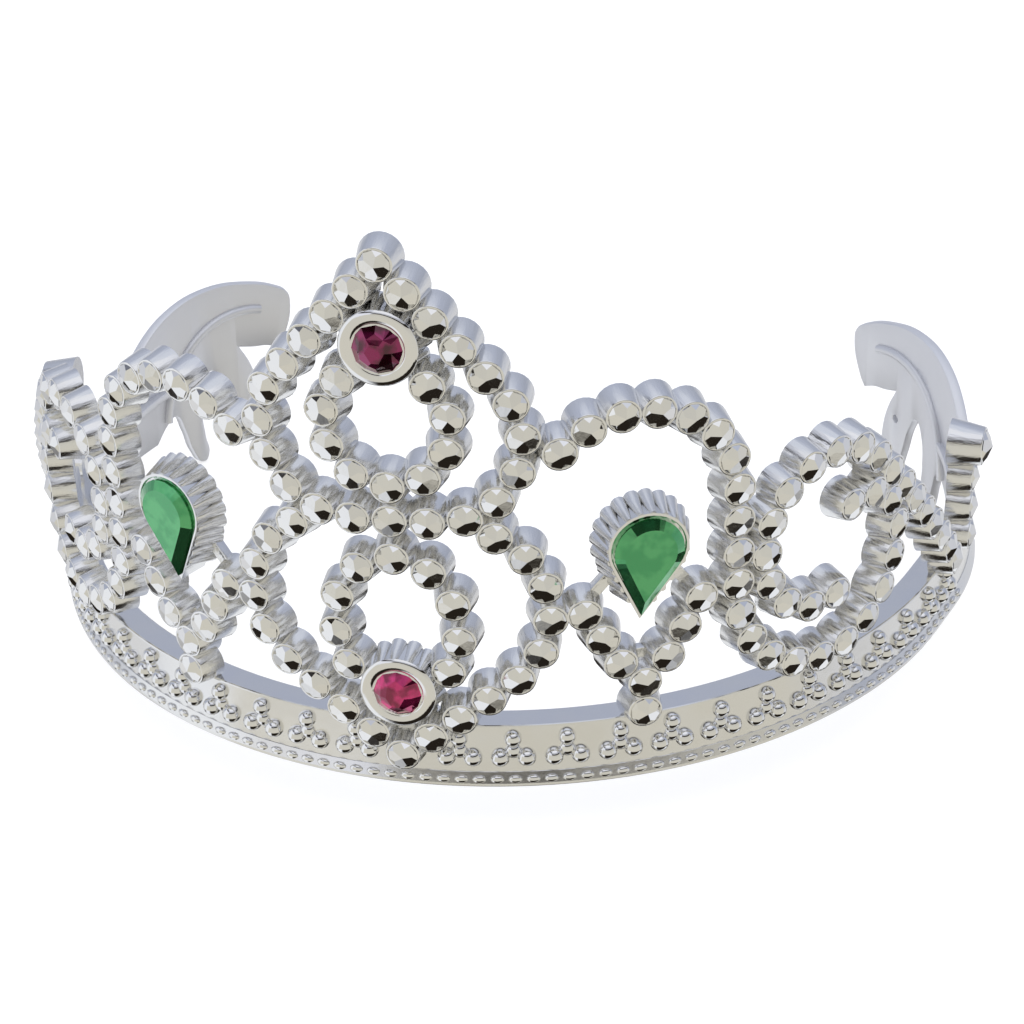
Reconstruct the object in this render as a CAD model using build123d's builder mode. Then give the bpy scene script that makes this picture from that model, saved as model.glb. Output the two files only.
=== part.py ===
"""Toy tiara: bead strings, stones and a horseshoe rail. Millimetres, +Z up, front towards -Y.

The origin is on the foot of the rail, at the middle of its wall, at the front centre.
A place on the bead wall is (s, z): s along the curved face from the front centre, z up.
"""
from build123d import *
from math import cos, degrees, radians, sin
import os

# ---- plan of the tiara -------------------------------------------------------------------
front_radius = 58.0          # bead faces, across the front
face_setback = 2.0           # rail wall behind the bead faces
rail_half_angle = 74.0       # front arc of the rail, each side of the centre
side_run = 6.5               # straight stretch of the rail
comb_radius = 41.5           # outer face of the rail and comb round the back
comb_end_angle = 144.4       # heading of the wall where the comb stops
comb_length = 35.0           # along the wall

# ---- rail --------------------------------------------------------------------------------
rail_height = 7.5
wall = 1.4
ledge_depth = 3.2
ledge_thick = 1.1
flange_height = 1.6
flange_reach = 0.7
flange_edge = 0.35
pip_count = 83
pip_pitch = 1.97
pip_radius = 0.55
pip_tip_radius = 0.25
pip_stand = 0.85
pip_z = 0.9

# ---- trefoil studs -----------------------------------------------------------------------
stud_start = 5.8
stud_pitch = 5.89
stud_count = 13              # each side
stud_top_radius = 1.0
stud_low_radius = 1.08
stud_web_radius = 1.0        # a lower lump that joins the three balls
stud_web_sink = 0.3
stud_top_z = 5.95
stud_web_z = 4.3
stud_low_z = 3.5
stud_low_gap = 2.9           # between the two lower balls

# ---- bead --------------------------------------------------------------------------------
bead_face = 1.9              # radius
bead_back = 2.45             # radius
bead_depth = 2.9
dome_radius = 1.6
dome_height = 0.45

# ---- bead strings, unrolled --------------------------------------------------------------
peak_z = 62.3
peak_slope = -48.3
peak_run = 17.8
peak_round = 9.3
peak_beads = 11              # spaces from the peak to the bottom centre
upper_ring_radius = 6.8
upper_ring_beads = 4         # each side of the lowest one
upper_ring_step = 34.0
upper_ring_z = 44.3
drop_tip_z = 4.5
drop_slope = 37.8
drop_run = 15.8
drop_round = 10.6
drop_turn = 114.0
drop_beads = 9
inner_oval_width = 6.85
inner_oval_height = 8.55
inner_oval_z = 20.5
inner_oval_steps = (0.0, 34.5, 67.5, 98.0, 126.5)
arch_start = (17.95, 41.4)
arch_slope = 48.0
arch_round = 11.2
arch_turn = 138.0
arch_drop = 12.5
curl_round = 11.8
curl_inner = 6.2
curl_inner_turn = 108.0
arch_beads = 23
hook_start = (50.95, 16.95)
hook_slope = 198.0
hook_round = 7.6
hook_turn = 108.0
hook_rise = 1.2
scroll_round = 9.3
scroll_turn = 138.0
scroll_run = 30.3
scroll_beads = 18
stem_s = 26.65
stem_low_z = 9.1
stem_fork_z = 12.75
stem_step = (2.65, 2.75)
stem_pitch = 3.8
stem_slope = 60.0
stem_leg_beads = 3
post_s = 84.0
post_low_z = 9.0
post_pitch = 3.85
post_beads = 3
finial_z = 20.9
finial_face = 2.4
finial_back = 2.75
finial_front = 1.0
finial_depth = 4.4

# ---- stones ------------------------------------------------------------------------------
upper_gem_z = 53.5
lower_gem_z = 12.85
round_gem_radius = 2.8
bezel_width = 1.2
round_skirt = 4.75
gem_stand = 0.7              # bezel in front of the bead faces
gem_seat = 0.8
gem_crown = 1.1
drop_gem_s = 26.9
drop_gem_z = 29.45
drop_gem_lean = 7.5
drop_gem_radius = 3.8
drop_gem_tail = 7.3
drop_gem_tip = 0.35
drop_bezel = 0.45
drop_skirt = 1.35
drop_crown = 0.9
drop_table = 0.62            # share of the outline

# ---- combs: outline on the wall, distance from the comb's end and height -----------------
comb_top_middle = (20.0, 18.0)
comb_top_end = (0.0, 15.6)
comb_corner = 2.0
tab_foot = (2.0, 7.6)
tab_notch = (8.6, 8.8)
first_tooth = ((6.4, 3.0), (7.4, -4.6), (8.4, -4.6), (12.4, 5.0))
gap_top = (13.8, 7.0)
second_tooth = ((15.4, 4.6), (15.5, -6.0), (16.5, -6.0), (19.0, -1.0), (21.2, 3.2))
strip_foot = (25.2, 0.0)
rib_centre = (8.8, 0.4)
rib_round = 14.2
rib_width = 1.2
rib_height = 1.2
rib_short = 5.0              # the rib stops this far from the comb's end
ledge_run = 13.5             # length of the rail's ledge that runs on over the comb
comb_low = -10.0             # the blank that the comb is cut from
comb_high = 24.0
comb_bow = 8.0
eye_place = (9.0, 5.2)
eye_radius = 0.5

# ---- link bars, unrolled ---------------------------------------------------------------
bar_width = 1.3
bar_depth = 1.2
links = (
    ((4.3, 33.5), (10.75, 31.67)),
    ((16.6, 22.9), (20.3, 22.3)),
    ((24.0, 15.5), (29.3, 15.5)),
    ((20.3, 22.3), (26.9, 29.45)),
    ((33.0, 22.3), (26.9, 29.45)),
)

touch = 0.02                 # gap where a bead stands on a curved or flat face

os.makedirs("parts", exist_ok=True)

rail_radius = front_radius - face_setback
plan_centre = rail_radius - wall / 2
degrees_per_mm = degrees(1 / front_radius)


def turned(heading):
    """Outward and forward directions where the wall has turned by this many degrees."""
    a = radians(heading)
    return Vector(sin(a), -cos(a), 0), Vector(cos(a), sin(a), 0)


def face_plane(s, z, depth=0.0):
    """Plane on the bead faces at (s, z), set back by depth, looking outward."""
    out, along = turned(s * degrees_per_mm)
    origin = Vector(0, plan_centre, z) + out * (front_radius - depth)
    return Plane(origin=origin, x_dir=along, z_dir=out)


def rail_centre(side):
    """Centre of the arc that the rail and the comb follow round the back."""
    out, along = turned(side * rail_half_angle)
    return Vector(0, plan_centre, 0) + out * (rail_radius - comb_radius) + along * (side * side_run)


def rail_plane(run, z):
    """Plane on the rail's outer face, at a distance along it from the front centre."""
    side = -1 if run < 0 else 1
    past = abs(run) - rail_radius * radians(rail_half_angle)
    if past < 0:
        return face_plane(run * front_radius / rail_radius, z, face_setback)
    heading = rail_half_angle + degrees(max(past - side_run, 0) / comb_radius)
    out, along = turned(side * heading)
    origin = rail_centre(side) + out * comb_radius - along * side * max(side_run - past, 0)
    return Plane(origin=origin + Vector(0, 0, z), x_dir=along, z_dir=out)


def section_plane(side, heading, about):
    """Upright plane through the axis at about, with x pointing outward."""
    out, along = turned(side * heading)
    return Plane(origin=about, x_dir=out, z_dir=-along)


def comb_plane(side):
    """Plane touching the middle of the comb, x towards its root and y up."""
    middle = comb_end_angle - degrees(comb_length / 2 / comb_radius)
    out, along = turned(side * middle)
    centre = rail_centre(side)
    return Plane(origin=centre + out * comb_radius, x_dir=-along * side, z_dir=-out * side)


def beads_along(line, spaces):
    """Evenly spaced (s, z) places along a drawn line, both ends included."""
    wire = line.wire()
    step = wire.length / spaces
    found = [wire.position_at(i * step, position_mode=PositionMode.LENGTH) for i in range(spaces + 1)]
    return [(p.X, p.Y) for p in found]


def both_sides(places):
    """The places and their mirror images, with the ones on the centre line kept once."""
    return places + [(-s, z) for s, z in places if abs(s) > touch]


def add_beads(places, side=1):
    """Tapered stubs with a low dome, one at each place, in the part being built."""
    with Locations(*[face_plane(side * s, z, bead_depth) for s, z in places]):
        Cone(bead_back, bead_face, bead_depth, align=(Align.CENTER, Align.CENTER, Align.MIN))
    with Locations(*[face_plane(side * s, z) for s, z in places]):
        Cone(dome_radius, dome_radius / 2, dome_height, align=(Align.CENTER, Align.CENTER, Align.MIN))


def add_bar(start, end):
    """A straight square bar between two places on the wall, level with the back of the beads."""
    depth = bead_depth - bar_depth / 2
    a = face_plane(*start, depth).origin
    b = face_plane(*end, depth).origin
    middle = face_plane((start[0] + end[0]) / 2, (start[1] + end[1]) / 2)
    across = middle.z_dir.cross(b - a)
    with Locations(Plane(origin=(a + b) / 2, x_dir=b - a, z_dir=(b - a).cross(across))):
        Box((b - a).length, bar_width, bar_depth)


def trim(*others):
    """Cut the part being built back to the faces of its neighbours."""
    for other in others:
        add(other.part, mode=Mode.SUBTRACT)


def save(piece, name):
    piece.part.label = name
    export_step(piece.part, f"parts/{name}.step")


sides = {"left": -1, "right": 1}


# ---- rail: wall with a ledge along its top -----------------------------------------------
def rail_profile(plane, radius):
    with BuildSketch(plane) as profile:
        with BuildLine():
            Polyline(
                (radius, 0),
                (radius, rail_height),
                (radius - ledge_depth, rail_height),
                (radius - ledge_depth, rail_height - ledge_thick),
                (radius - wall, rail_height - ledge_thick),
                (radius - wall, 0),
                close=True,
            )
        make_face()
    return profile.sketch


def flange_profile(plane, radius):
    with BuildSketch(plane) as profile:
        with BuildLine():
            Polyline(
                (radius, 0),
                (radius + flange_reach, 0),
                (radius + flange_reach, flange_edge),
                (radius, flange_height),
                close=True,
            )
        make_face()
    return profile.sketch


def sweep_round_front(profile):
    """The profile round the front, along both straight runs and back to the combs."""
    front = Vector(0, plan_centre, 0)
    start = section_plane(1, -rail_half_angle, front)
    revolve(profile(start, rail_radius), axis=Axis(front, (0, 0, 1)), revolution_arc=2 * rail_half_angle)
    root_turn = comb_end_angle - degrees(comb_length / comb_radius) - rail_half_angle
    for side in sides.values():
        end = section_plane(side, rail_half_angle, front)
        extrude(profile(end, rail_radius), amount=side_run, dir=turned(side * rail_half_angle)[1] * side)
        centre = rail_centre(side)
        root = section_plane(side, rail_half_angle, centre)
        revolve(profile(root, comb_radius), axis=Axis(centre, (0, 0, side)), revolution_arc=root_turn)


with BuildPart() as base_band:
    sweep_round_front(rail_profile)
save(base_band, "base_band")

with BuildPart() as band_flange:
    sweep_round_front(flange_profile)
save(band_flange, "band_flange")

# ---- row of small pips on the flange -----------------------------------------------------
with BuildPart() as flange_pips:
    for i in range(pip_count):
        with Locations(rail_plane((i - (pip_count - 1) / 2) * pip_pitch, pip_z)):
            Cone(pip_radius, pip_tip_radius, pip_stand, align=(Align.CENTER, Align.CENTER, Align.MIN))
    trim(band_flange, base_band)
save(flange_pips, "flange_pips")

# ---- round settings and stones -----------------------------------------------------------
round_settings = {}
for name, z in {"upper": upper_gem_z, "lower": lower_gem_z}.items():
    front = face_plane(0, z, -gem_stand)
    back = face_plane(0, z, bead_depth)
    with BuildPart() as setting:
        with Locations(back):
            Cone(
                round_skirt,
                round_gem_radius + bezel_width,
                bead_depth + gem_stand,
                align=(Align.CENTER, Align.CENTER, Align.MIN),
            )
        with Locations(front):
            Cylinder(
                round_gem_radius,
                gem_seat,
                align=(Align.CENTER, Align.CENTER, Align.MAX),
                mode=Mode.SUBTRACT,
            )
    round_settings[name] = setting
    save(setting, f"{name}_round_setting")

    with BuildPart() as gem:
        with Locations(front):
            Cylinder(round_gem_radius, gem_seat, align=(Align.CENTER, Align.CENTER, Align.MAX))
            Cone(
                round_gem_radius,
                round_gem_radius / 2,
                gem_crown,
                align=(Align.CENTER, Align.CENTER, Align.MIN),
            )
    save(gem, f"{name}_gem")


# ---- drop-shaped settings and stones -----------------------------------------------------
def drop_outline(plane, grow=0.0, share=1.0):
    """A circle drawn out to a tail, at a share of its size and then grown on all sides."""
    with BuildSketch(plane) as outline:
        Circle(drop_gem_radius * share + grow)
        with Locations((0, -drop_gem_tail * share)):
            Circle(drop_gem_tip * share + grow)
        make_hull()
    return outline.sketch


drop_settings = {}
for name, side in sides.items():
    flat = face_plane(side * drop_gem_s, drop_gem_z, -gem_stand)
    front = flat.rotated((0, 0, -side * drop_gem_lean))
    back = front.offset(-bead_depth - gem_stand)
    with BuildPart() as setting:
        loft([drop_outline(front, drop_bezel), drop_outline(back, drop_skirt)])
        extrude(drop_outline(front), amount=-gem_seat, mode=Mode.SUBTRACT)
    drop_settings[name] = setting
    save(setting, f"{name}_teardrop_setting")

    with BuildPart() as gem:
        extrude(drop_outline(front), amount=-gem_seat)
        loft([drop_outline(front), drop_outline(front.offset(drop_crown), share=drop_table)])
    save(gem, f"{name}_teardrop_gem")

# ---- centre strings ----------------------------------------------------------------------
with BuildLine() as peak_line:
    run = PolarLine((0, peak_z), peak_run, peak_slope)
    bend = JernArc(run @ 1, run % 1, peak_round, -(180 + peak_slope))
    Line(bend @ 1, (0, (bend @ 1).Y))

with BuildPart() as peak_arch:
    add_beads(both_sides(beads_along(peak_line, peak_beads)))
    trim(round_settings["upper"])
save(peak_arch, "peak_arch")

upper_ring_places = []
for i in range(upper_ring_beads + 1):
    a = radians(i * upper_ring_step)
    upper_ring_places.append((upper_ring_radius * sin(a), upper_ring_z - upper_ring_radius * cos(a)))

with BuildPart() as upper_inner_ring:
    add_beads(both_sides(upper_ring_places))
    trim(round_settings["upper"], peak_arch)
save(upper_inner_ring, "upper_inner_ring")

with BuildLine() as drop_line:
    run = PolarLine((0, drop_tip_z), drop_run, drop_slope)
    JernArc(run @ 1, run % 1, drop_round, drop_turn)

with BuildPart() as lower_ring:
    add_beads(both_sides(beads_along(drop_line, drop_beads)))
    trim(base_band, peak_arch, round_settings["lower"])
save(lower_ring, "lower_ring")

inner_oval_places = []
for step in inner_oval_steps:
    a = radians(step)
    inner_oval_places.append((inner_oval_width * sin(a), inner_oval_z + inner_oval_height * cos(a)))

with BuildPart() as lower_inner_ring:
    add_beads(both_sides(inner_oval_places))
    trim(round_settings["lower"], peak_arch)
save(lower_inner_ring, "lower_inner_ring")

# ---- trefoil studs on the rail -----------------------------------------------------------
with BuildPart() as trefoil_studs:
    for i in range(stud_count):
        run = stud_start + i * stud_pitch
        balls = [(run, stud_top_z, stud_top_radius, 0), (run, stud_web_z, stud_web_radius, -stud_web_sink)]
        for gap in (-stud_low_gap / 2, stud_low_gap / 2):
            balls.append((run + gap, stud_low_z, stud_low_radius, 0))
        for at, z, radius, stand in balls:
            for side in sides.values():
                with Locations(rail_plane(side * at, z).offset(stand)):
                    Sphere(radius)
    trim(base_band, lower_ring)
save(trefoil_studs, "trefoil_studs")

# ---- side strings ------------------------------------------------------------------------
with BuildLine() as arch_line:
    heading = (cos(radians(arch_slope)), sin(radians(arch_slope)))
    over = JernArc(arch_start, heading, arch_round, -arch_turn)
    down = Line(over @ 1, over @ 1 - (0, arch_drop))
    curl = JernArc(down @ 1, down % 1, curl_round, 180)
    JernArc(curl @ 1, curl % 1, curl_inner, curl_inner_turn)

with BuildLine() as scroll_line:
    heading = (cos(radians(hook_slope)), sin(radians(hook_slope)))
    hook = JernArc(hook_start, heading, hook_round, -hook_turn)
    rise = Line(hook @ 1, hook @ 1 + (0, hook_rise))
    over = JernArc(rise @ 1, rise % 1, scroll_round, -scroll_turn)
    PolarLine(over @ 1, scroll_run, 90 - scroll_turn)

fork = (stem_s, stem_fork_z)
stem_places = [(stem_s, stem_low_z), fork]
for lean in (-1, 1):
    for i in range(stem_leg_beads):
        reach = stem_step[0] + i * stem_pitch * cos(radians(stem_slope))
        climb = stem_step[1] + i * stem_pitch * sin(radians(stem_slope))
        stem_places.append((stem_s + lean * reach, stem_fork_z + climb))

post_places = [(post_s, post_low_z + i * post_pitch) for i in range(post_beads)]
gem_stems = []

for name, side in sides.items():
    with BuildPart() as side_arch:
        add_beads(beads_along(arch_line, arch_beads), side)
        trim(base_band, peak_arch)
    save(side_arch, f"{name}_side_arch")

    with BuildPart() as scroll:
        add_beads(beads_along(scroll_line, scroll_beads), side)
        trim(base_band, side_arch)
    save(scroll, f"{name}_scroll")

    with BuildPart() as gem_stem:
        add_beads(stem_places, side)
        trim(base_band, lower_ring, side_arch, drop_settings[name])
    gem_stems.append(gem_stem)
    save(gem_stem, f"{name}_gem_stem")

    with BuildPart() as end_post:
        add_beads(post_places, side)
        with Locations(face_plane(side * post_s, finial_z, finial_depth - finial_front)):
            Cone(finial_back, finial_face, finial_depth, align=(Align.CENTER, Align.CENTER, Align.MIN))
        trim(base_band)
    save(end_post, f"{name}_end_post")


# ---- link bars behind the strings --------------------------------------------------------
with BuildPart() as link_bars:
    for side in sides.values():
        for start, end in links:
            add_bar((side * start[0], start[1]), (side * end[0], end[1]))
    trim(peak_arch, lower_ring, *gem_stems, *drop_settings.values())
save(link_bars, "link_bars")


# ---- combs -------------------------------------------------------------------------------
def arc_shell(side, inner, outer, low, high, length):
    """Upright curved strip from the comb's root, between two radii and two heights."""
    centre = rail_centre(side)
    root = comb_end_angle - degrees(comb_length / comb_radius)
    with BuildSketch(section_plane(side, root, centre)) as strip:
        with BuildLine():
            Polyline((inner, low), (outer, low), (outer, high), (inner, high), close=True)
        make_face()
    turn = degrees(length / comb_radius)
    revolve(strip.sketch, axis=Axis(centre, (0, 0, side)), revolution_arc=turn)


def on_comb(place):
    """A place measured from the comb's end, seen square on to the middle of the comb."""
    return comb_radius * sin((place[0] - comb_length / 2) / comb_radius), place[1]


def comb_outline(side):
    root_foot = (comb_length, 0)
    root_top = (comb_length, rail_height)
    teeth = [on_comb(p) for p in (tab_foot, tab_notch, *first_tooth)]
    rest = [on_comb(p) for p in (*second_tooth, strip_foot, root_foot, root_top)]
    with BuildSketch(comb_plane(side)) as outline:
        with BuildLine():
            Polyline(on_comb(comb_top_end), *teeth)
            ThreePointArc(teeth[-1], on_comb(gap_top), rest[0])
            Polyline(*rest)
            ThreePointArc(on_comb(root_top), on_comb(comb_top_middle), on_comb(comb_top_end))
        make_face()
        tip = outline.vertices().group_by(Axis.X)[0].sort_by(Axis.Y)[-1]
        fillet(tip, comb_corner)
    return outline.sketch


for name, side in sides.items():
    with BuildPart() as rib:
        rib_foot = comb_radius - wall - rib_height
        arc_shell(side, rib_foot, comb_radius - wall, 0, comb_top_middle[1], comb_length - rib_short)
        with BuildSketch(comb_plane(side)) as rib_outline:
            with Locations(on_comb(rib_centre)):
                Circle(rib_round + rib_width / 2)
                Circle(rib_round - rib_width / 2, mode=Mode.SUBTRACT)
        extrude(amount=comb_bow, both=True, mode=Mode.INTERSECT)

    with BuildPart() as comb:
        arc_shell(side, comb_radius - wall, comb_radius, comb_low, comb_high, comb_length)
        extrude(comb_outline(side), amount=comb_bow, both=True, mode=Mode.INTERSECT)
        ledge_foot = rail_height - ledge_thick
        arc_shell(side, comb_radius - ledge_depth, comb_radius - wall, ledge_foot, rail_height, ledge_run)
        add(rib.part)
        if side == sides["right"]:
            with BuildSketch(comb_plane(side)):
                with Locations(on_comb(eye_place)):
                    Circle(eye_radius)
            extrude(amount=comb_bow, both=True, mode=Mode.SUBTRACT)
    save(comb, f"{name}_comb")
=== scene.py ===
from math import atan2, cos, hypot, pi, radians, sin

import bmesh
import bpy
from mathutils import Matrix, Vector


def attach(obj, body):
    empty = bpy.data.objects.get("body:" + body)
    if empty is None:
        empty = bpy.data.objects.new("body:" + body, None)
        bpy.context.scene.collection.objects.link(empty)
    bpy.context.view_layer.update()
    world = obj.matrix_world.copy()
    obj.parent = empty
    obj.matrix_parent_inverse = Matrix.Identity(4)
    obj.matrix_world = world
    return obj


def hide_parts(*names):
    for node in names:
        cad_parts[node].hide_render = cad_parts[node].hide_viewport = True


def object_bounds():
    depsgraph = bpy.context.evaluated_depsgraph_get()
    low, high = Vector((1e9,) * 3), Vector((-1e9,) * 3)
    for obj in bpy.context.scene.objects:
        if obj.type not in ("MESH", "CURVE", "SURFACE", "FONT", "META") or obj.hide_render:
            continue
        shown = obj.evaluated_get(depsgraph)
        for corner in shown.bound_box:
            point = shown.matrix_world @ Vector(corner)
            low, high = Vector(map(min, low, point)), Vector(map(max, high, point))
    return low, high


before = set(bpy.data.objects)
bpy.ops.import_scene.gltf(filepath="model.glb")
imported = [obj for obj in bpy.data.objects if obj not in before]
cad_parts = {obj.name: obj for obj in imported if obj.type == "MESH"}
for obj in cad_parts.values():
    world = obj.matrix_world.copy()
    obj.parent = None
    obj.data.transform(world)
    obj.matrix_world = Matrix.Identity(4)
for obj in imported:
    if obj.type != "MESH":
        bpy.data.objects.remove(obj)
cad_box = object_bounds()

# ---- Rail: a horseshoe strip, moulded in hard plastic with a ledge along its top, then plated.
# It is shaped straight and then bent round the head: +X along it, +Y inwards, +Z up.
mm = 0.001
plan_centre = 55.3 * mm
rail_radius = 56.0 * mm
rail_turn = radians(74.0)
side_run = 6.5 * mm
back_radius = 41.5 * mm
back_turn = radians(70.4)
comb_length = 35.0 * mm
half_run = rail_radius * rail_turn + side_run + back_radius * back_turn
rail_end = half_run - comb_length
rail_height = 7.5 * mm
wall = 1.4 * mm
ledge_depth = 3.2 * mm
ledge_thick = 1.1 * mm
rail_edge = 0.18 * mm
bend_step = 2.0 * mm


class Value:
    """A node's output in an expression: each operator adds the Math node for it."""

    def __init__(self, finish, socket):
        self.finish, self.socket = finish, socket

    def combine(self, operation, a, b):
        return self.finish.node("ShaderNodeMath", {"operation": operation}, {0: a, 1: b})

    def __add__(self, other):
        return self.combine("ADD", self, other)

    def __sub__(self, other):
        return self.combine("SUBTRACT", self, other)

    def __rsub__(self, other):
        return self.combine("SUBTRACT", other, self)

    def __mul__(self, other):
        return self.combine("MULTIPLY", self, other)

    __radd__ = __add__
    __rmul__ = __mul__


class Finish:
    """A material, or the room, wired up as expressions on Value objects."""

    def __init__(self, owner):
        self.owner = owner
        owner.use_nodes = True
        self.tree = owner.node_tree
        self.tree.nodes.clear()

    def node(self, kind, settings, sockets, output=0):
        made = self.tree.nodes.new(kind)
        for key, value in settings.items():
            if key == "stops":
                while len(made.color_ramp.elements) < len(value):
                    made.color_ramp.elements.new(0.5)
                for stop, (position, colour) in zip(made.color_ramp.elements, value):
                    stop.position = position
                    stop.color = (*colour, 1)
            else:
                setattr(made, key, value)
        for key, value in sockets.items():
            if isinstance(value, Value):
                self.tree.links.new(value.socket, made.inputs[key])
            else:
                made.inputs[key].default_value = value
        return Value(self, made.outputs[output]) if made.outputs else None

    def place(self):
        return self.node("ShaderNodeTexCoord", {}, {}, "Object")

    def axes(self, vector):
        """The X, Y and Z of a vector."""
        return [self.node("ShaderNodeSeparateXYZ", {}, {0: vector}, axis) for axis in "XYZ"]

    def noise(self, vector, scale, detail=2.0):
        return self.node("ShaderNodeTexNoise", {}, {"Vector": vector, "Scale": scale, "Detail": detail})

    def blend(self, share, one, other):
        """One colour to another by share."""
        return self.node(
            "ShaderNodeMix", {"data_type": "RGBA"}, {"Factor": share, 6: one, 7: other}, 2
        )

    def bump(self, height, distance):
        return self.node("ShaderNodeBump", {}, {"Height": height, "Distance": distance, "Strength": 1.0})

    def share(self, value, low, high):
        """0 at low and 1 at high, eased between."""
        return self.node(
            "ShaderNodeMapRange",
            {"interpolation_type": "SMOOTHSTEP"},
            {"Value": value, "From Min": low, "From Max": high},
        )

    def surface(self, **sockets):
        names = {key.replace("_", " "): value for key, value in sockets.items()}
        shader = self.node("ShaderNodeBsdfPrincipled", {}, names)
        self.node("ShaderNodeOutputMaterial", {}, {"Surface": shader})
        return self.owner


# How fine the finish is: blotches per metre, and streaks per radian round the front and per
# metre inwards and up, so that the streaks run round the crown.
blotches = 260.0
streaks_round = 90.0
streaks_deep = 120.0
streaks_high = 1500.0


def plating(name, gloss, haze, grain):
    """Plated chrome: gloss is its lowest roughness, haze what the mould's texture adds."""
    finish = Finish(bpy.data.materials.new(name))
    place = finish.place()
    cloud = finish.noise(place, blotches)
    x, y, z = finish.axes(place)
    turn = finish.node("ShaderNodeMath", {"operation": "ARCTAN2"}, {0: x, 1: plan_centre - y})
    across = finish.node(
        "ShaderNodeCombineXYZ", {},
        {"X": turn * streaks_round, "Y": y * streaks_deep, "Z": z * streaks_high},
    )
    streak = finish.noise(across, 1.0, 3.0)
    tint = finish.blend(cloud, (0.78, 0.79, 0.82, 1), (0.85, 0.84, 0.81, 1))
    return finish.surface(
        Base_Color=tint,
        Metallic=1.0,
        Roughness=cloud * haze + gloss,
        Normal=finish.bump(streak + cloud * 0.5, grain),
    )


bright_plate = plating("bright_plate", 0.03, 0.07, 0.003 * mm)
satin_plate = plating("satin_plate", 0.1, 0.2, 0.07 * mm)
smooth_plate = plating("smooth_plate", 0.1, 0.16, 0.006 * mm)


def start(kind, name, **sizes):
    """Adds a primitive with nothing else selected."""
    bpy.ops.object.select_all(action="DESELECT")
    getattr(bpy.ops.mesh, f"primitive_{kind}_add")(**sizes)
    piece = bpy.context.object
    piece.name = name
    bpy.ops.object.transform_apply(location=True, rotation=True, scale=True)
    return piece


def pick(piece, wanted=lambda face: True):
    """Edit mode, with only the faces that are wanted selected."""
    bpy.context.view_layer.objects.active = piece
    bpy.ops.object.mode_set(mode="EDIT")
    bpy.ops.mesh.select_mode(type="FACE")
    bpy.ops.mesh.select_all(action="DESELECT")
    mesh = bmesh.from_edit_mesh(piece.data)
    for face in mesh.faces:
        face.select_set(wanted(face))
    bmesh.update_edit_mesh(piece.data)


def slice_across(piece, low, high, step):
    """Cuts across X, so that the piece can bend."""
    pick(piece)
    cuts = int((high - low) / step)
    for i in range(1, cuts):
        bpy.ops.mesh.select_all(action="SELECT")
        bpy.ops.mesh.bisect(plane_co=(low + (high - low) * i / cuts, 0, 0), plane_no=(1, 0, 0))
    bpy.ops.object.mode_set(mode="OBJECT")


def round_edges(piece, width):
    bevel = piece.modifiers.new("edge", "BEVEL")
    bevel.width = width
    bevel.segments = 2
    bevel.limit_method = "ANGLE"
    bevel.angle_limit = radians(40)
    bpy.context.view_layer.objects.active = piece
    bpy.ops.object.modifier_apply(modifier=bevel.name)


def rail_path(run):
    """Outer face of the rail at a distance along it, and the outward direction there."""
    side = -1 if run < 0 else 1
    front = min(abs(run), rail_radius * rail_turn)
    straight = min(max(abs(run) - front, 0), side_run)
    back = abs(run) - front - straight
    first = front / rail_radius
    heading = first + back / back_radius
    place = Vector((0, plan_centre)) + rail_radius * Vector((sin(first), -cos(first)))
    place += straight * Vector((cos(first), sin(first)))
    place += back_radius * Vector((sin(heading) - sin(first), cos(first) - cos(heading)))
    out = Vector((sin(heading), -cos(heading)))
    return Vector((side * place.x, place.y)), Vector((side * out.x, out.y))


def bend_round_head(piece):
    for vertex in piece.data.vertices:
        run, depth, height = vertex.co
        place, out = rail_path(run)
        vertex.co = (*(place - out * depth), height)


def select_only(piece):
    bpy.ops.object.select_all(action="DESELECT")
    piece.select_set(True)
    bpy.context.view_layer.objects.active = piece


def smooth(piece, angle):
    select_only(piece)
    bpy.ops.object.shade_smooth_by_angle(angle=radians(angle))


def plated(piece, node):
    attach(piece, "root")
    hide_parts(node)


def strip(name, low, high):
    """A straight bar the length of the rail, from one corner of its section to the other."""
    piece = start("cube", name, size=1)
    for vertex in piece.data.vertices:
        vertex.co.x *= 2 * rail_end
        vertex.co.y = low[0] if vertex.co.y < 0 else high[0]
        vertex.co.z = low[1] if vertex.co.z < 0 else high[1]
    return piece


rail = strip("rail", (0, 0), (wall, rail_height))
pick(rail)
bpy.ops.mesh.bisect(plane_co=(0, 0, rail_height - ledge_thick), plane_no=(0, 0, 1))
bpy.ops.object.mode_set(mode="OBJECT")
pick(rail, lambda f: f.normal.y > 0.9 and f.calc_center_median().z > rail_height - ledge_thick)
bpy.ops.mesh.extrude_region_move(TRANSFORM_OT_translate={"value": (0, ledge_depth - wall, 0)})
bpy.ops.object.mode_set(mode="OBJECT")
round_edges(rail, rail_edge)
slice_across(rail, -rail_end, rail_end, bend_step)
bend_round_head(rail)
rail.data.materials.append(smooth_plate)
smooth(rail, 15)
plated(rail, "base_band")

# ---- Flange: a thin lip round the foot of the rail, part of the same moulding.
# Its top slopes down to a narrow outer edge.
flange_height = 1.6 * mm
flange_reach = 0.7 * mm
flange_edge = 0.4 * mm
flange_round = 0.1 * mm

flange = strip("flange", (-flange_reach, 0), (0, flange_height))
for vertex in flange.data.vertices:
    if vertex.co.y < 0:
        vertex.co.z = min(vertex.co.z, flange_edge)
round_edges(flange, flange_round)
slice_across(flange, -rail_end, rail_end, bend_step)
bend_round_head(flange)
flange.data.materials.append(smooth_plate)
smooth(flange, 15)
plated(flange, "band_flange")


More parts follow.
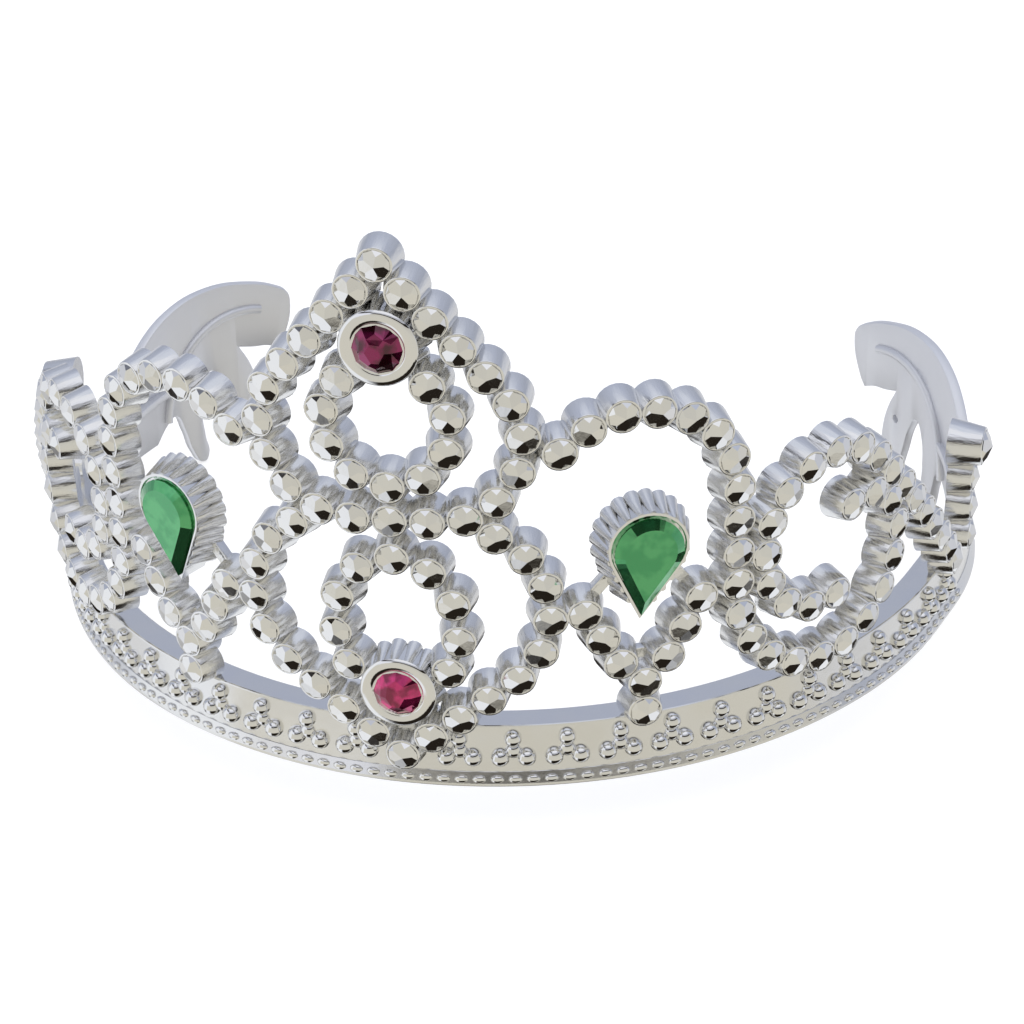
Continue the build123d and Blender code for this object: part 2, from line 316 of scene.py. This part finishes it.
# ---- Pips: a close row of small pads standing on the flange, moulded with it.
# Each is a flattened ball, long side along the rail, so that the row reads as a beaded line.
pip_count = 83
pip_pitch = 1.97 * mm
pip_shape = (0.8, 0.35, 0.5)
pip_out = 0.42 * mm
pip_height = 0.8 * mm


def copy_of(master, matrix):
    """A copy with its own mesh, put in place in its mesh."""
    copy = master.copy()
    copy.data = master.data.copy()
    bpy.context.collection.objects.link(copy)
    copy.data.transform(matrix)
    return copy


def join(pieces, name):
    bpy.ops.object.select_all(action="DESELECT")
    for piece in pieces:
        piece.select_set(True)
    bpy.context.view_layer.objects.active = pieces[0]
    bpy.ops.object.join()
    pieces[0].name = name
    return pieces[0]


pip = start("uv_sphere", "pip", segments=10, ring_count=6, radius=1 * mm)
bpy.ops.transform.resize(value=pip_shape)
bpy.ops.object.transform_apply(location=True, rotation=True, scale=True)
pips = []
for i in range(pip_count):
    run = (i - (pip_count - 1) / 2) * pip_pitch
    pips.append(copy_of(pip, Matrix.Translation((run, -pip_out, pip_height))))
pip_row = join(pips, "pips")
bend_round_head(pip_row)
pip_row.data.materials.append(bright_plate)
smooth(pip_row, 60)
plated(pip_row, "flange_pips")
bpy.data.objects.remove(pip)

# ---- Trefoil studs: three small balls in a triangle, half sunk in the rail's face.
# A lower lump in the middle joins them. They repeat round the rail and are moulded with it.
stud_count = 13
stud_start = 5.8 * mm
stud_pitch = 5.89 * mm
# Each ball in millimetres: along the rail, into it, up, and its radius.
stud_balls = ((0, 0, 5.95, 1.0), (-1.45, 0, 3.5, 1.08), (1.45, 0, 3.5, 1.08), (0, 0.3, 4.3, 1.0))

ball = start("ico_sphere", "ball", subdivisions=3, radius=1 * mm)
balls = []
for i in range(stud_count):
    for side in (-1, 1):
        run = side * (stud_start + i * stud_pitch)
        for along, sink, z, radius in stud_balls:
            place = Matrix.Translation((run + along * mm, sink * mm, z * mm))
            balls.append(copy_of(ball, place @ Matrix.Scale(radius, 4)))
studs = join(balls, "trefoil_studs_plated")
bend_round_head(studs)
studs.data.materials.append(bright_plate)
smooth(studs, 60)
plated(studs, "trefoil_studs")
bpy.data.objects.remove(ball)

# ---- Combs: a curved plate with two teeth at each end of the rail, moulded with it.
# The plate is cut flat and bent with the rail. Each point is its distance from the comb's end and
# its height, in millimetres, and whether the outline runs smoothly through it.
comb_outline = (
    (35.0, 0.0, 0), (25.2, 0.0, 0), (22.4, 2.2, 1), (20.9, 2.6, 1), (19.4, -0.2, 1), (18.2, -4.0, 1),
    (16.4, -6.2, 1), (15.4, -5.2, 1), (15.7, -2.5, 1), (16.0, 1.7, 1), (15.4, 5.3, 1), (13.9, 7.0, 1),
    (12.4, 5.4, 1), (10.6, 0.4, 1), (9.0, -3.6, 1), (7.9, -4.7, 1), (6.8, -3.6, 1), (6.2, 0.0, 1),
    (6.3, 3.0, 1), (7.2, 6.3, 1), (8.7, 9.1, 0), (6.4, 8.5, 1), (4.4, 8.2, 1), (2.4, 7.5, 0),
    (1.5, 8.9, 1), (0.2, 14.3, 1), (0.6, 15.6, 1), (2.0, 16.6, 1), (6.5, 18.2, 1),
    (12.8, 19.05, 1), (20.0, 18.0, 1), (26.6, 14.9, 1), (31.6, 10.9, 1), (35.0, 7.5, 0),
)
comb_edge = 0.3 * mm
comb_step = 1.5 * mm
rib_centre = (8.8, 0.4)
rib_radius = 14.2
rib_first = 9.0
rib_step = 3.85
rib_points = 26
rib_wire = 0.6 * mm
rib_stand = 0.15 * mm
eye_place = (9.0, 5.2)
eye_radius = 0.5
ledge_tip = 21.2 * mm
ledge_tip_depth = wall + 0.6 * mm
ledge_sunk = 0.3 * mm


def curve_mesh(name, curve):
    """A drawn curve as a mesh."""
    piece = bpy.data.objects.new(name, curve)
    bpy.context.collection.objects.link(piece)
    select_only(piece)
    bpy.ops.object.convert(target="MESH")
    return piece


def drawn(name, outlines, depth, edge):
    """A flat plate from closed outlines of (x, y, smooth) points in metres, as a mesh in XZ."""
    curve = bpy.data.curves.new(name, "CURVE")
    curve.dimensions = "2D"
    curve.fill_mode = "BOTH"
    curve.extrude = depth / 2 - edge
    curve.bevel_depth = edge
    curve.bevel_resolution = 1
    curve.offset = -edge
    curve.resolution_u = 6
    for outline in outlines:
        spline = curve.splines.new("BEZIER")
        spline.bezier_points.add(len(outline) - 1)
        spline.use_cyclic_u = True
        for point, (x, y, soft) in zip(spline.bezier_points, outline):
            point.co = (x, y, 0)
            point.handle_left_type = point.handle_right_type = "AUTO" if soft else "VECTOR"
    piece = curve_mesh(name, curve)
    piece.data.transform(Matrix.Translation((0, depth / 2, 0)) @ Matrix.Rotation(pi / 2, 4, "X"))
    pick(piece)
    bpy.ops.mesh.remove_doubles(threshold=0.002 * mm)
    bpy.ops.mesh.dissolve_limited(angle_limit=radians(0.5))
    bpy.ops.mesh.select_all(action="SELECT")
    bpy.ops.mesh.normals_make_consistent(inside=False)
    bpy.ops.object.mode_set(mode="OBJECT")
    return piece


dull = Finish(bpy.data.materials.new("dull_plate"))
mist = dull.noise(dull.place(), 90.0, 3.0)
dull_plate = dull.surface(
    Base_Color=dull.blend(mist, (0.66, 0.67, 0.71, 1), (0.78, 0.785, 0.81, 1)),
    Metallic=0.7,
    Roughness=mist * 0.25 + 0.28,
    Normal=dull.bump(dull.noise(dull.place(), 700.0), 0.01 * mm),
)

for name, side in (("left", -1), ("right", 1)):
    outline = [(side * (half_run - w * mm), z * mm, soft) for w, z, soft in comb_outline]
    outlines = [outline]
    if name == "right":
        eye = []
        for i in range(8):
            a = i * pi / 4
            w = eye_place[0] + eye_radius * cos(a)
            eye.append((half_run - w * mm, (eye_place[1] + eye_radius * sin(a)) * mm, 1))
        outlines.append(eye)
    plate = drawn("plate", outlines, wall, comb_edge)
    slice_across(plate, *sorted((side * rail_end, side * half_run)), comb_step)

    rib_path = bpy.data.curves.new("rib", "CURVE")
    rib_path.dimensions = "3D"
    rib_path.bevel_depth = rib_wire
    rib_path.bevel_resolution = 3
    rib_path.use_fill_caps = True
    line = rib_path.splines.new("POLY")
    line.points.add(rib_points - 1)
    for i, point in enumerate(line.points):
        a = radians(rib_first + i * rib_step)
        w = rib_centre[0] + rib_radius * cos(a)
        z = rib_centre[1] + rib_radius * sin(a)
        point.co = (side * (half_run - w * mm), wall + rib_stand, z * mm, 1)
    rib = curve_mesh("rib", rib_path)

    ledge = start("cube", "ledge", size=1)
    for vertex in ledge.data.vertices:
        at_rail, inner, upper = (value > 0 for value in vertex.co)
        reach = ledge_depth if at_rail else ledge_tip_depth
        vertex.co = (
            side * (half_run - (comb_length if at_rail else ledge_tip)),
            reach if inner else wall - ledge_sunk,
            rail_height if upper else rail_height - ledge_thick,
        )
    if side < 0:
        pick(ledge)
        bpy.ops.mesh.normals_make_consistent(inside=False)
        bpy.ops.object.mode_set(mode="OBJECT")
    round_edges(ledge, rail_edge)
    slice_across(ledge, *sorted((side * (half_run - ledge_tip), side * rail_end)), comb_step)

    comb = join([plate, rib, ledge], f"{name}_comb_plated")
    bend_round_head(comb)
    comb.data.materials.clear()
    comb.data.materials.append(dull_plate)
    smooth(comb, 40)
    plated(comb, f"{name}_comb")

# ---- Bead: a tapered stub with a thin rim round a rose-cut dome, all one moulding.
# The dome is cut as a jeweller would: five large facets to a point, ten small ones round the edge.
face_radius = 58.0 * mm
bead_face = 1.9 * mm
bead_back = 2.45 * mm
bead_depth = 2.9 * mm
rim_width = 0.1 * mm
rim_slope = 0.07 * mm
dome_blank = 1 * mm
dome_radius = 1.62 * mm
dome_sink = 0.14 * mm
dome_peak = 0.85 * mm
dome_edge = 0.03 * mm


def cut_facets(piece, count, tilt, through, first):
    """Planes cut round the +Z axis, each tilted outwards and passing through (radius, height)."""
    pick(piece)
    for i in range(count):
        a = first + 2 * pi * i / count
        bpy.ops.mesh.select_all(action="SELECT")
        bpy.ops.mesh.bisect(
            plane_co=(through[0] * cos(a), through[0] * sin(a), through[1]),
            plane_no=(sin(tilt) * cos(a), sin(tilt) * sin(a), cos(tilt)),
            use_fill=True,
            clear_outer=True,
        )
    bpy.ops.object.mode_set(mode="OBJECT")


def paint(piece, finishes, choose):
    """Gives each face one of the finishes, by its number."""
    for finish in finishes:
        piece.data.materials.append(finish)
    for face in piece.data.polygons:
        face.material_index = choose(face)


stub = start(
    "cone", "stub", vertices=24, radius1=bead_back, radius2=bead_face, depth=bead_depth,
    location=(0, 0, -bead_depth / 2),
)
pick(stub, lambda face: face.normal.z > 0.9)
bpy.ops.mesh.bevel(offset=rim_width, segments=2, affect="EDGES")
pick(stub, lambda face: face.normal.z > 0.99 and face.calc_area() > 1e-6)
bpy.ops.mesh.inset(thickness=rim_width, depth=0)
bpy.ops.mesh.inset(thickness=rim_slope, depth=-dome_sink)
bpy.ops.object.mode_set(mode="OBJECT")
paint(stub, (bright_plate, satin_plate), lambda f: int(f.normal.z < 0.3 and f.center.z < -2 * rim_width))
smooth(stub, 50)

dome = start(
    "cylinder", "dome", vertices=20, radius=dome_radius, depth=dome_blank,
    location=(0, 0, dome_blank / 2),
)
cut_facets(dome, 5, radians(23), (0, dome_peak), -pi / 2)
cut_facets(dome, 10, radians(40), (dome_radius, dome_edge), -pi / 2)
dome.data.transform(Matrix.Translation((0, 0, -dome_sink)))
dome.data.materials.append(bright_plate)
bead = join([stub, dome], "bead")


def on_wall(s, z, stand=0.0, turn=0.0):
    """On the bead faces, s round the front and z up, with +Z looking out and +Y up."""
    heading = s * mm / face_radius
    out = Vector((sin(heading), -cos(heading), 0))
    along = Vector((cos(heading), sin(heading), 0))
    axes = Matrix((along, Vector((0, 0, 1)), out)).transposed().to_4x4()
    place = Vector((0, plan_centre, z * mm)) + out * (face_radius + stand)
    return Matrix.Translation(place) @ axes @ Matrix.Rotation(turn, 4, "Z")


def arc(radius, turn):
    """A bend in a drawn line, as (length, turn)."""
    return radius * radians(abs(turn)), turn


def spaced(begin, heading, moves, spaces):
    """Evenly spaced (s, z) places along a line of straights and bends."""
    total = sum(length for length, turn in moves)
    places = []
    for i in range(spaces + 1):
        left = total * i / spaces
        s, z = begin
        angle = radians(heading)
        for length, turn in moves:
            part = min(left, length)
            bend = radians(turn) * part / length
            chord = 2 * part / bend * sin(bend / 2) if abs(bend) > 1e-9 else part
            s += chord * cos(angle + bend / 2)
            z += chord * sin(angle + bend / 2)
            angle += bend
            left -= part
        places.append((s, z))
    return places


def both_sides(places):
    return places + [(-s, z) for s, z in places if abs(s) > 0.1]


def bead_string(name, node, places, side=1):
    beads = []
    for i, (s, z) in enumerate(places):
        beads.append(copy_of(bead, on_wall(side * s, z, turn=radians(i * 17 % 30 - 15))))
    string = join(beads, name)
    plated(string, node)
    return string


# ---- Centre strings: a pointed arch over a drop-shaped ring, with a small ring inside each.
# Beads stand a bead apart and run into one another at their backs.
bead_string(
    "peak_beads", "peak_arch",
    both_sides(spaced((0, 62.3), -48.3, [(17.8, 0), arc(9.3, -131.7), (4.9, 0)], 11)),
)
upper_ring = [(6.8 * sin(radians(34 * i)), 44.3 - 6.8 * cos(radians(34 * i))) for i in range(5)]
bead_string("upper_ring_beads", "upper_inner_ring", both_sides(upper_ring))
bead_string(
    "drop_ring_beads", "lower_ring",
    both_sides(spaced((0, 4.5), 37.8, [(15.8, 0), arc(10.6, 114)], 9)),
)
oval_steps = [radians(step) for step in (0, 34.5, 67.5, 98.0, 126.5)]
lower_oval = [(6.85 * sin(a), 20.5 + 8.55 * cos(a)) for a in oval_steps]
bead_string("lower_oval_beads", "lower_inner_ring", both_sides(lower_oval))

# ---- Side strings: an arch that curls back under itself, and a scroll that runs down to the rail.
# A forked stem carries the drop stone, and a short post with a large bead ends the wall.
side_arch = spaced(
    (17.95, 41.4), 48, [arc(11.2, -138), (12.5, 0), arc(11.8, 180), arc(6.2, 108)], 23
)
scroll = spaced((50.95, 16.95), 198, [arc(7.6, -108), (1.2, 0), arc(9.3, -138), (30.3, 0)], 18)
stem = [(26.65, 9.1), (26.65, 12.75)]
for lean in (-1, 1):
    for i in range(3):
        stem.append((26.65 + lean * (2.65 + 1.9 * i), 15.5 + 3.29 * i))
post_s = 84.0
post_foot = 9.0
post_pitch = 3.85
finial_z = 20.9
finial_stand = 1 * mm
finial_size = (1.2, 1.2, 1.4, 1)

for name, side in (("left", -1), ("right", 1)):
    bead_string(f"{name}_arch_beads", f"{name}_side_arch", side_arch, side)
    bead_string(f"{name}_scroll_beads", f"{name}_scroll", scroll, side)
    bead_string(f"{name}_stem_beads", f"{name}_gem_stem", stem, side)
    post = [copy_of(bead, on_wall(side * post_s, post_foot + post_pitch * i)) for i in range(3)]
    finial = on_wall(side * post_s, finial_z, finial_stand, radians(25))
    post.append(copy_of(bead, finial @ Matrix.Diagonal(finial_size)))
    plated(join(post, f"{name}_post_beads"), f"{name}_end_post")
bpy.data.objects.remove(bead)

# ---- Link bars: short bars at the back of the wall that hold neighbouring strings together.
# They are moulded with the beads. Each runs between two places, round the front and up, in millimetres.
links = (
    ((4.3, 33.5), (10.75, 31.67)),
    ((16.6, 22.9), (20.3, 22.3)),
    ((24.0, 15.5), (29.3, 15.5)),
    ((20.3, 22.3), (26.9, 29.45)),
    ((33.0, 22.3), (26.9, 29.45)),
)
link_width = 1.3 * mm
link_depth = 1.2 * mm
groove = 0.15 * mm

bars = []
for (s0, z0), (s1, z1) in links:
    bar = start("cube", "bar", size=1)
    bpy.ops.transform.resize(value=(hypot(s1 - s0, z1 - z0) * mm, link_width, link_depth))
    bpy.ops.object.transform_apply(location=True, rotation=True, scale=True)
    pick(bar, lambda face: face.normal.z > 0.9)
    bpy.ops.mesh.inset(thickness=0.3 * mm, depth=-groove)
    bpy.ops.object.mode_set(mode="OBJECT")
    round_edges(bar, 0.12 * mm)
    bar.data.materials.append(satin_plate)
    for side in (-1, 1):
        turn = side * atan2(z1 - z0, s1 - s0)
        place = on_wall(side * (s0 + s1) / 2, (z0 + z1) / 2, link_depth / 2 - bead_depth, turn)
        bars.append(copy_of(bar, place))
    bpy.data.objects.remove(bar)
all_bars = join(bars, "link_bars_plated")
smooth(all_bars, 35)
plated(all_bars, "link_bars")


# ---- Round stones: a rose-cut crown under clear lacquer, in a setting with a fluted skirt.
# The setting and stone are moulded and plated with the wall; only the stone is lacquered.
def lacquer(name, deep, pale):
    """Clear coloured lacquer over chrome, paler where it runs thin."""
    finish = Finish(bpy.data.materials.new(name))
    place = finish.place()
    cloud = finish.noise(place, 520.0)
    wear = finish.noise(place, 1500.0)
    body = finish.blend(finish.share(cloud, 0.4, 0.6), (*deep, 1), (*pale, 1))
    return finish.surface(
        Base_Color=body,
        Metallic=0.92,
        Roughness=wear * 0.1 + 0.06,
        Coat_Weight=1.0,
        Coat_Roughness=0.03,
        Coat_IOR=1.55,
        Normal=finish.bump(cloud, 0.02 * mm),
    )


gem_radius = 2.85 * mm
gem_blank = 1.6 * mm
gem_peak = 2.0 * mm
gem_edge = 0.25 * mm
barrel_back = 4.2 * mm
barrel_face = 3.7 * mm
barrel_stand = 0.6 * mm
bezel_radius = 3.4 * mm
bezel_wire = 0.8 * mm
bezel_rise = 0.35 * mm
flutes = 15
flute_radius = 3.55 * mm
lobe_stand = 0.5 * mm
lobe_depth = bead_depth + lobe_stand
lobe_lean = radians(9)


def fluted(places):
    """Tapered lobes standing round a setting: places are (x, y, outward angle) at the skirt."""
    lobe = start(
        "cone", "lobe", vertices=12, radius1=0.88 * mm, radius2=0.4 * mm, depth=lobe_depth,
        location=(0, 0, -lobe_depth / 2),
    )
    made = []
    for x, y, a in places:
        lean = Matrix.Rotation(a, 4, "Z") @ Matrix.Rotation(lobe_lean, 4, "Y").inverted()
        made.append(copy_of(lobe, Matrix.Translation((x, y, lobe_stand)) @ lean))
    bpy.data.objects.remove(lobe)
    return made


magenta = lacquer("magenta_lacquer", (0.06, 0.001, 0.012), (0.26, 0.004, 0.09))
pink = lacquer("pink_lacquer", (0.22, 0.004, 0.05), (0.66, 0.03, 0.19))
for name, z, finish, slot in (
    ("upper", 53.5, magenta, "magenta_lacquer"), ("lower", 12.85, pink, "pink_lacquer"),
):
    barrel = start(
        "cone", "barrel", vertices=48, radius1=barrel_back, radius2=barrel_face,
        depth=bead_depth + barrel_stand, location=(0, 0, (barrel_stand - bead_depth) / 2),
    )
    bezel = start(
        "torus", "bezel", major_segments=48, minor_segments=12, major_radius=bezel_radius,
        minor_radius=bezel_wire,
    )
    bezel.data.transform(Matrix.Translation((0, 0, bezel_rise)) @ Matrix.Diagonal((1, 1, 0.5, 1)))
    ring = [2 * pi * i / flutes for i in range(flutes)]
    lobes = fluted([(flute_radius * cos(a), flute_radius * sin(a), a) for a in ring])
    for piece in (barrel, *lobes):
        piece.data.materials.append(satin_plate)
    bezel.data.materials.append(bright_plate)
    setting = join([barrel, bezel, *lobes], f"{name}_setting_plated")
    setting.data.transform(on_wall(0, z))
    smooth(setting, 50)
    plated(setting, f"{name}_round_setting")

    gem = start(
        "cylinder", "gem", vertices=32, radius=gem_radius, depth=gem_blank,
        location=(0, 0, gem_blank / 2),
    )
    cut_facets(gem, 6, radians(24), (0, gem_peak), -pi / 2)
    cut_facets(gem, 12, radians(42), (gem_radius, gem_edge), radians(15))
    gem.data.materials.append(finish)
    gem.name = f"{name}_gem_cut"
    gem.data.transform(on_wall(0, z, 0.1 * mm))
    plated(gem, f"{name}_gem")

# ---- Drop stones: a flat table with a sloping edge, green lacquer, in a scalloped setting.
# They hang point down and lean a little outwards.
green = lacquer("green_lacquer", (0.05, 0.34, 0.12), (0.09, 0.43, 0.16))
drop_s = 26.9
drop_z = 29.45
drop_lean = radians(7.5)
drop_radius = 3.8 * mm
drop_tail = 7.6 * mm
drop_shoulder = radians(52)
seat_rise = 0.7 * mm
seat_rim = 0.28 * mm
seat_slope = 0.12 * mm
seat_sink = 0.25 * mm
table_edge = 0.95 * mm
table_rise = 0.62 * mm
girdle = 0.75 * mm
scallop_radius = 4.15 * mm
scallop_count = 15
scallop_first = -38
scallop_step = 18.3


def drop_blank(name):
    """A filled drop shape: a disc whose lowest rim point is drawn down to the tail."""
    blank = start("circle", name, vertices=36, radius=drop_radius, fill_type="NGON")
    tip = min(blank.data.vertices, key=lambda v: v.co.y)
    tip.co.y = -drop_tail
    bpy.ops.object.mode_set(mode="EDIT")
    bpy.ops.mesh.select_mode(type="VERT")
    bpy.ops.mesh.select_all(action="DESELECT")
    mesh = bmesh.from_edit_mesh(blank.data)
    for vertex in mesh.verts:
        off = abs(atan2(vertex.co.x, -vertex.co.y))
        vertex.select_set(1e-3 < off < drop_shoulder)
    bmesh.update_edit_mesh(blank.data)
    bpy.ops.mesh.dissolve_verts()
    bpy.ops.object.mode_set(mode="OBJECT")
    if blank.data.polygons[0].normal.z < 0:
        blank.data.flip_normals()
    return blank


for name, side in (("left", -1), ("right", 1)):
    seat = drop_blank("seat")
    pick(seat)
    bpy.ops.transform.resize(value=(1.16, 1.1, 1))
    bpy.ops.mesh.extrude_region_move(TRANSFORM_OT_translate={"value": (0, 0, bead_depth + seat_rise)})
    bpy.ops.mesh.inset(thickness=seat_rim, depth=0)
    bpy.ops.mesh.inset(thickness=seat_slope, depth=-seat_sink)
    bpy.ops.object.mode_set(mode="OBJECT")
    seat.data.transform(Matrix.Translation((0, 0, -bead_depth)))
    paint(seat, (bright_plate, satin_plate), lambda face: int(face.normal.z < 0.5))

    scallops = []
    for i in range(scallop_count):
        a = radians(scallop_first + scallop_step * i)
        scallops.append((scallop_radius * cos(a), scallop_radius * sin(a), a))
    for flank in (-1, 1):
        a = pi / 2 - flank * (pi / 2 + drop_shoulder * 0.62)
        for down in (0.15, 0.42, 0.7):
            x = flank * (3.4 - 3.0 * down) * mm
            y = (-2.7 - 4.6 * down) * mm
            scallops.append((x, y, a))
    lobes = fluted(scallops)
    for lobe in lobes:
        lobe.data.materials.append(satin_plate)
    setting = join([seat, *lobes], f"{name}_drop_setting_plated")
    place = on_wall(side * drop_s, drop_z, 0, -side * drop_lean)
    setting.data.transform(place)
    smooth(setting, 40)
    plated(setting, f"{name}_teardrop_setting")

    gem = drop_blank(f"{name}_drop_cut")
    pick(gem)
    bpy.ops.mesh.extrude_region_move(TRANSFORM_OT_translate={"value": (0, 0, girdle)})
    bpy.ops.mesh.inset(thickness=table_edge, depth=table_rise)
    bpy.ops.object.mode_set(mode="OBJECT")
    gem.data.transform(place @ Matrix.Translation((0, 0, 0.3 * mm)))
    gem.data.materials.append(green)
    plated(gem, f"{name}_teardrop_gem")

# ---- Studio: a pale floor in a soft bright room.
# The floor gives no reflection of its own: the room does, so that each facet finds its dark or pale side.
floor = start("plane", "floor", size=6, location=(0, 0, cad_box[0][2] - 0.3 * mm))
floor.visible_glossy = False
paper = Finish(bpy.data.materials.new("paper"))
floor.data.materials.append(
    paper.surface(
        Base_Color=(0.5, 0.5, 0.5, 1), Roughness=0.9, Emission_Color=(1, 1, 1, 1), Emission_Strength=0.62
    )
)

# Seen from below upwards. In front: the dark space before the table, the table, the front wall and
# a dark ceiling line. To the left of it a white sheet, and at the back the white wall.
room = Finish(bpy.data.worlds.new("room"))
bpy.context.scene.world = room.owner
direction = room.node("ShaderNodeTexCoord", {}, {}, "Generated")
sideways, depth, height = room.axes(direction)
ripple = room.noise(direction, 2.6)
level = (height + ripple * 0.1 - 0.05) * 0.5 + 0.5
white, table, dark = (0.95, 0.97, 1.0), (0.72, 0.69, 0.60), (0.02, 0.016, 0.012)
front_room = room.node("ShaderNodeValToRGB", {"stops": (
    (0.0, dark), (0.165, dark), (0.18, table), (0.5, (0.70, 0.68, 0.60)), (0.7, (0.62, 0.60, 0.54)),
    (0.715, dark), (0.79, dark), (0.81, (0.55, 0.56, 0.60)), (0.87, (0.45, 0.46, 0.5)),
    (0.91, (0.9, 0.92, 1.0)), (1.0, (0.95, 0.96, 1.0)),
)}, {0: level})
left_room = room.node("ShaderNodeValToRGB", {"stops": (
    (0.0, white), (0.19, white), (0.22, table), (0.6, (0.70, 0.68, 0.60)), (0.7, (0.9, 0.92, 1.0)),
    (0.82, (0.9, 0.92, 1.0)), (0.85, dark), (0.88, dark), (0.91, (0.6, 0.62, 0.7)),
)}, {0: level})
back_room = room.node("ShaderNodeValToRGB", {"stops": (
    (0.0, white), (0.12, white), (0.15, dark), (0.19, dark), (0.22, (0.80, 0.80, 0.80)),
    (0.5, (0.66, 0.68, 0.74)), (0.62, (0.40, 0.43, 0.52)), (0.9, (0.50, 0.54, 0.66)),
    (0.96, (0.72, 0.76, 0.86)),
)}, {0: level})
front = room.blend(room.share(sideways, -0.25, -0.4), front_room, left_room)
front = room.blend(room.share(sideways, -0.74, -0.8), front, (*white, 1))
seen = room.blend(room.share(depth, 0.1, -0.08), back_room, front)
glow = room.node("ShaderNodeBackground", {}, {"Color": seen, "Strength": 1.0})
room.node("ShaderNodeOutputWorld", {}, {"Surface": glow})

# One wide lamp overhead, aimed at the middle of the crown.
lamp_place = Vector((0.0, 0.1, 1.0))
lamp_aim = Vector((0, 0.04, 0.02))
light = bpy.data.lights.new("overhead", "AREA")
light.shape = "RECTANGLE"
light.size, light.size_y = 1.8, 1.6
light.energy = 9.0
lamp = bpy.data.objects.new("overhead", light)
bpy.context.collection.objects.link(lamp)
lamp.location = lamp_place
lamp.visible_glossy = False
lamp.rotation_euler = (lamp_aim - lamp_place).to_track_quat("-Z", "Y").to_euler()

# ---- Camera: to the right of the front and above, level with the far side of the table.
camera_place = Vector((66.285, -231.256, 165.766)) * mm
camera_turn = radians(13.104)
camera_rise = radians(28.968)
camera_roll = radians(-1.913)
back_axis = Vector((
    sin(camera_turn) * cos(camera_rise), -cos(camera_turn) * cos(camera_rise), sin(camera_rise)
))
right_axis = Vector((cos(camera_turn), sin(camera_turn), 0))
up_axis = back_axis.cross(right_axis)
rolled_right = cos(camera_roll) * right_axis + sin(camera_roll) * up_axis
rolled_up = -sin(camera_roll) * right_axis + cos(camera_roll) * up_axis
lens = bpy.data.cameras.new("camera")
lens.sensor_width = 36.0
lens.lens = 92.61
lens.clip_start = 0.01
camera = bpy.data.objects.new("camera", lens)
bpy.context.collection.objects.link(camera)
camera.matrix_world = Matrix.Translation(camera_place) @ Matrix(
    (rolled_right, rolled_up, back_axis)
).transposed().to_4x4()
bpy.context.scene.camera = camera
bpy.context.scene.view_settings.view_transform = "Standard"
